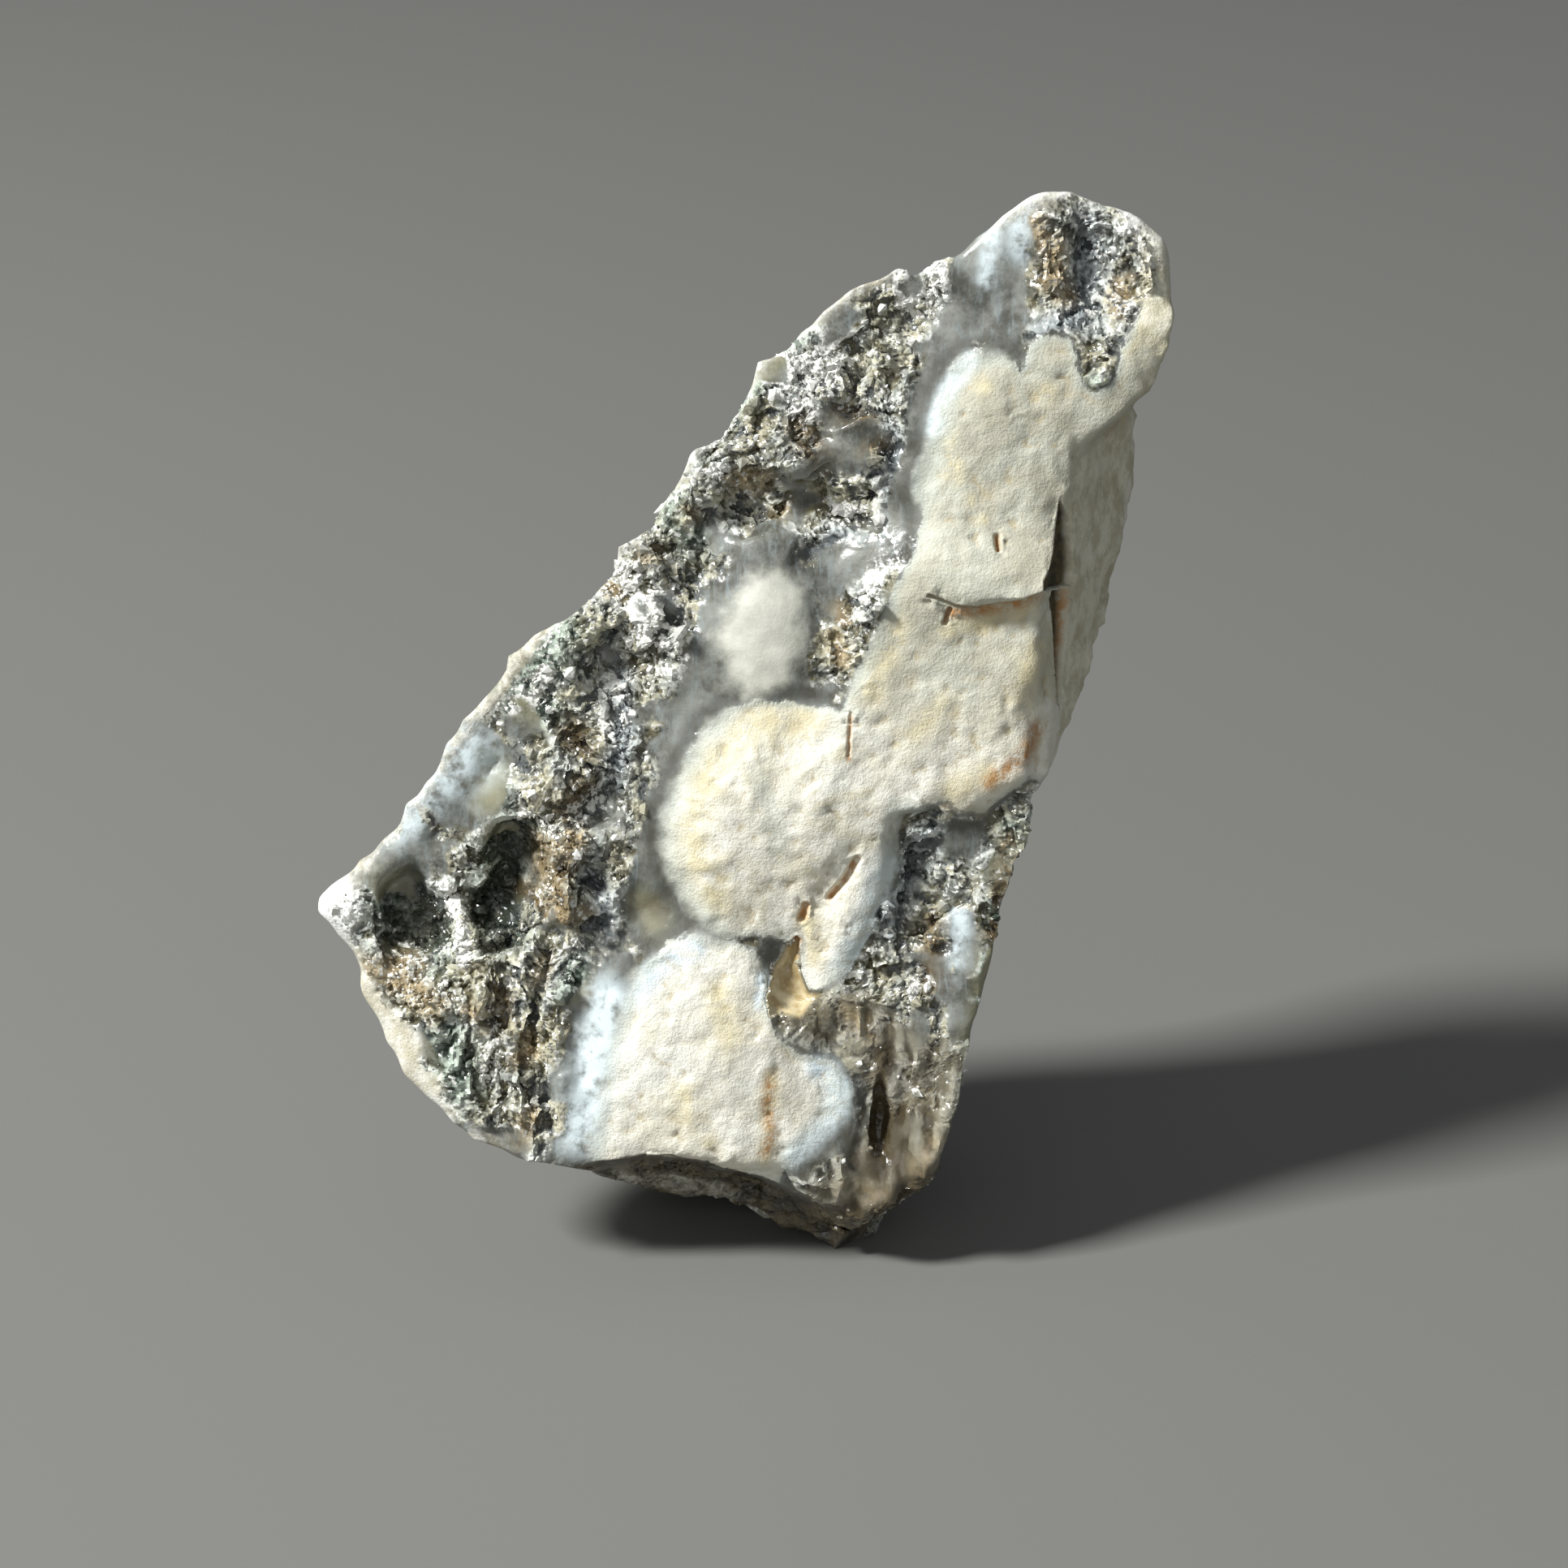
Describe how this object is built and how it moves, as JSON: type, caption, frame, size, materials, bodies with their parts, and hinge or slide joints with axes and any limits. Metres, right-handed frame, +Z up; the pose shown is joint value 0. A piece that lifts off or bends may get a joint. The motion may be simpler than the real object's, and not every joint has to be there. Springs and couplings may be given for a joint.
{
  "type": "rough ocean jasper",
  "caption": "Rough chip of ocean jasper: cream jasper masses in grey banded chalcedony with sparkling quartz druse, standing on a small flat spot.",
  "frame": {"origin": "the middle of the small flat spot that the stone stands on", "axes": "+Z up, -Y out of the broken front face, +X to the right of that face"},
  "size_m": [0.0375, 0.0178, 0.047],
  "materials": {
    "jasper": "rough broken stone, matt cream masses and glossy quartz druse",
    "druse": "glossy clear to smoky quartz crystals on the stone"
  },
  "bodies": {
    "root": {"ocean_jasper": "jasper"}
  },
  "joints": []
}
